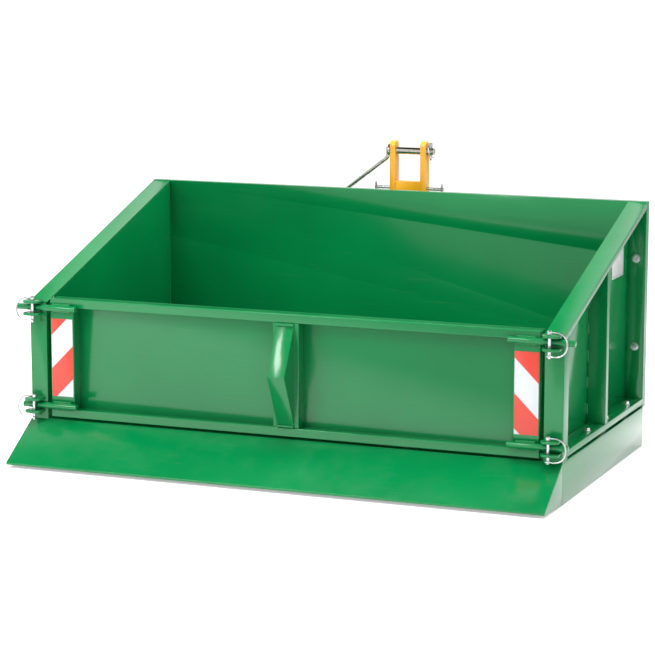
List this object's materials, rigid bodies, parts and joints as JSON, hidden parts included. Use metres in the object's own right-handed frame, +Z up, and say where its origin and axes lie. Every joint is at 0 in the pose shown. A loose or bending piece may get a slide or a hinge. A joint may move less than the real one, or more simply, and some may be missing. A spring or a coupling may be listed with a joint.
{
  "type": "tractor transport box",
  "caption": "Green steel rear transport box for a tractor's three-point linkage, with a drop tailgate held by linch pins, a loading ramp and a yellow top-link yoke.",
  "frame": {"origin": "ground level, mid-width, in the plane of the tailgate's front face", "axes": "+X across the box to the right as seen from behind the tractor, +Y towards the tractor, +Z up"},
  "size_m": [1.876, 1.313, 0.971],
  "materials": {
    "green_paint": "gloss",
    "yellow_paint": "gloss",
    "zinc_plate": "satin",
    "bright_steel": "polished",
    "reflective_film": "satin",
    "blank_plate": "satin"
  },
  "bodies": {
    "box": {"base_rear_plate": "green_paint", "base_side_left": "green_paint", "base_side_right": "green_paint", "bottom_flange_left": "green_paint", "bottom_flange_right": "green_paint", "flange_bolts": "zinc_plate", "floor_plate": "green_paint", "floor_runners": "green_paint", "front_post_left": "green_paint", "front_post_right": "green_paint", "hitch_cross_tube": "green_paint", "latch_ears_left": "green_paint", "latch_ears_right": "green_paint", "link_bracket_left": "green_paint", "link_bracket_right": "green_paint", "loading_ramp": "green_paint", "lower_link_pin_left": "bright_steel", "lower_link_pin_right": "bright_steel", "mast": "green_paint", "mast_stay": "green_paint", "panel_nuts": "zinc_plate", "ramp_gussets": "green_paint", "rating_plate": "blank_plate", "rear_bolts": "zinc_plate", "rear_flange_left": "green_paint", "rear_flange_right": "green_paint", "rear_wall": "green_paint", "rod_clips": "zinc_plate", "side_rib_left": "green_paint", "side_rib_right": "green_paint", "side_wall_left": "green_paint", "side_wall_right": "green_paint", "top_link_yoke": "yellow_paint", "top_rail_left": "green_paint", "top_rail_right": "green_paint", "yoke_bolts": "zinc_plate", "yoke_cross_rod": "zinc_plate", "yoke_nuts": "zinc_plate"},
    "tailgate": {"gate_bottom_rail": "green_paint", "gate_centre_post": "green_paint", "gate_end_left": "green_paint", "gate_end_right": "green_paint", "gate_handle": "green_paint", "gate_latch_bars": "green_paint", "gate_panel": "green_paint", "gate_top_rail": "green_paint", "warning_film_left": "reflective_film", "warning_film_right": "reflective_film"},
    "pin_upper_left": {"latch_pin_upper_left": "zinc_plate"},
    "bow_upper_left": {"latch_bow_upper_left": "zinc_plate"},
    "pin_upper_right": {"latch_pin_upper_right": "zinc_plate"},
    "bow_upper_right": {"latch_bow_upper_right": "zinc_plate"},
    "pin_lower_left": {"latch_pin_lower_left": "zinc_plate"},
    "bow_lower_left": {"latch_bow_lower_left": "zinc_plate"},
    "pin_lower_right": {"latch_pin_lower_right": "zinc_plate"},
    "bow_lower_right": {"latch_bow_lower_right": "zinc_plate"},
    "top_pin": {"top_link_pin": "bright_steel"},
    "top_clip": {"top_link_clip": "zinc_plate"},
    "top_clip_bow": {"top_link_clip_bow": "zinc_plate"}
  },
  "joints": [
    {"name": "tailgate_drop", "type": "hinge", "parent": "box", "child": "tailgate", "pos_m": [0, -0.011, 0.178], "axis": [1, 0, 0], "range_deg": [0, 110]},
    {"name": "pin_lift_upper_left", "type": "slide", "parent": "box", "child": "pin_upper_left", "axis": [0, 0, 1], "range_m": [0, 0.1]},
    {"name": "bow_swing_upper_left", "type": "hinge", "parent": "pin_upper_left", "child": "bow_upper_left", "pos_m": [-0.875, -0.028, 0.5298], "axis": [-1, 0, 0], "range_deg": [0, 100]},
    {"name": "pin_lift_upper_right", "type": "slide", "parent": "box", "child": "pin_upper_right", "axis": [0, 0, 1], "range_m": [0, 0.1]},
    {"name": "bow_swing_upper_right", "type": "hinge", "parent": "pin_upper_right", "child": "bow_upper_right", "pos_m": [0.862, -0.028, 0.5298], "axis": [-1, 0, 0], "range_deg": [0, 100]},
    {"name": "pin_lift_lower_left", "type": "slide", "parent": "box", "child": "pin_lower_left", "axis": [0, 0, 1], "range_m": [0, 0.1]},
    {"name": "bow_swing_lower_left", "type": "hinge", "parent": "pin_lower_left", "child": "bow_lower_left", "pos_m": [-0.875, -0.028, 0.2098], "axis": [-1, 0, 0], "range_deg": [0, 100]},
    {"name": "pin_lift_lower_right", "type": "slide", "parent": "box", "child": "pin_lower_right", "axis": [0, 0, 1], "range_m": [0, 0.1]},
    {"name": "bow_swing_lower_right", "type": "hinge", "parent": "pin_lower_right", "child": "bow_lower_right", "pos_m": [0.862, -0.028, 0.2098], "axis": [-1, 0, 0], "range_deg": [0, 100]},
    {"name": "top_pin_draw", "type": "slide", "parent": "box", "child": "top_pin", "axis": [-1, 0, 0], "range_m": [0, 0.21]},
    {"name": "top_clip_lift", "type": "slide", "parent": "box", "child": "top_clip", "axis": [0, 0, 1], "range_m": [0, 0.06]},
    {"name": "top_clip_bow_swing", "type": "hinge", "parent": "top_clip", "child": "top_clip_bow", "pos_m": [0.079, 1.096, 0.9605], "axis": [0, -1, 0], "range_deg": [0, 100]}
  ],
  "couplings": [
    {"joint": "pin_lift_upper_left", "follows": "tailgate_drop", "m_per_rad": 0.05208},
    {"joint": "pin_lift_upper_right", "follows": "tailgate_drop", "m_per_rad": 0.05208},
    {"joint": "bow_swing_upper_left", "follows": "tailgate_drop", "ratio": 0.90909},
    {"joint": "bow_swing_upper_right", "follows": "tailgate_drop", "ratio": 0.90909},
    {"joint": "bow_swing_lower_left", "follows": "pin_lift_lower_left", "rad_per_m": 17.453},
    {"joint": "bow_swing_lower_right", "follows": "pin_lift_lower_right", "rad_per_m": 17.453},
    {"joint": "top_clip_lift", "follows": "top_pin_draw", "ratio": 0.2857},
    {"joint": "top_clip_bow_swing", "follows": "top_pin_draw", "rad_per_m": 8.311}
  ]
}
